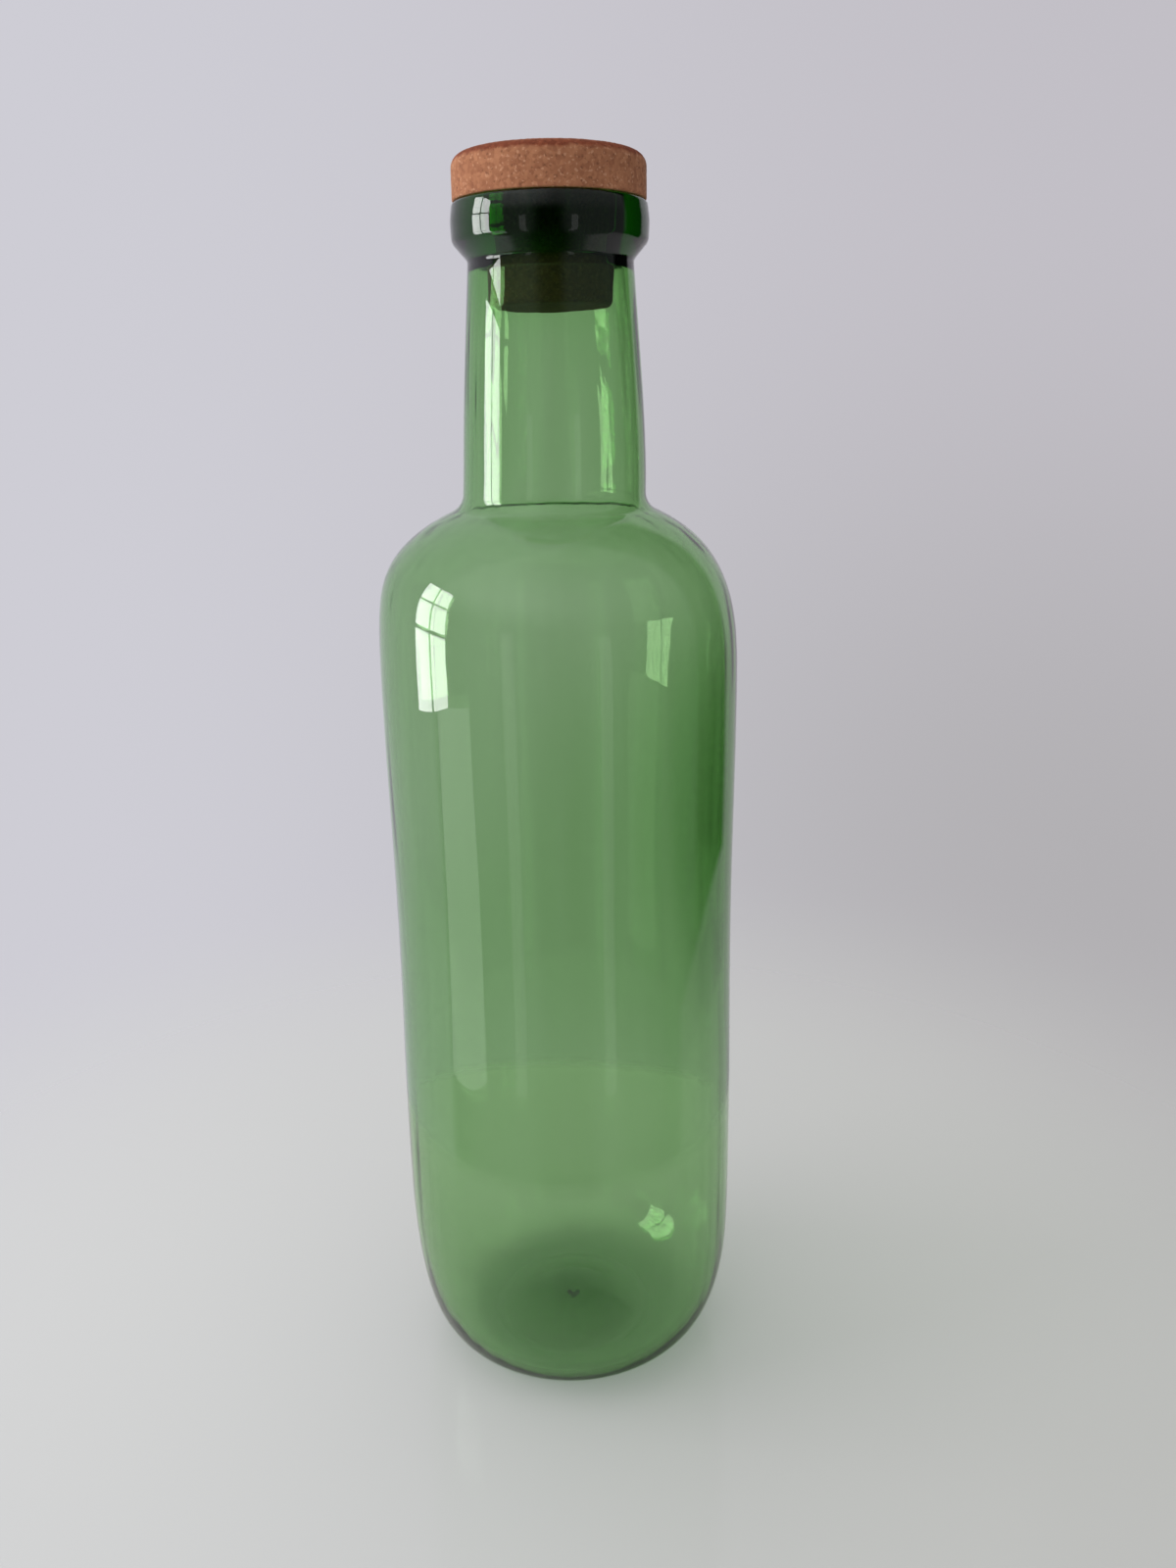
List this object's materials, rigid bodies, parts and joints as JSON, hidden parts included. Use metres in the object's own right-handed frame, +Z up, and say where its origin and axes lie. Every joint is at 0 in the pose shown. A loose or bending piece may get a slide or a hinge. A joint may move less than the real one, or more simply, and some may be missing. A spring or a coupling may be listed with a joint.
{
  "type": "glass bottle with cork",
  "caption": "Tall round green glass bottle, empty, with soft shoulders, a straight neck and a thick lip, closed by a T-shaped cork stopper.",
  "frame": {"origin": "centre of the flat standing ring, on the surface that the bottle stands on", "axes": "+Z up along the bottle's axis of revolution, through the cork; +X and +Y are any two level directions, as both pieces are round"},
  "size_m": [0.0866, 0.0866, 0.3002],
  "materials": {
    "green_glass": "smooth moulded soda-lime glass, see-through green, polished",
    "cork": "sanded agglomerated cork, matt, fine grain"
  },
  "bodies": {
    "root": {"bottle": "green_glass", "stopper": "cork"}
  },
  "joints": []
}
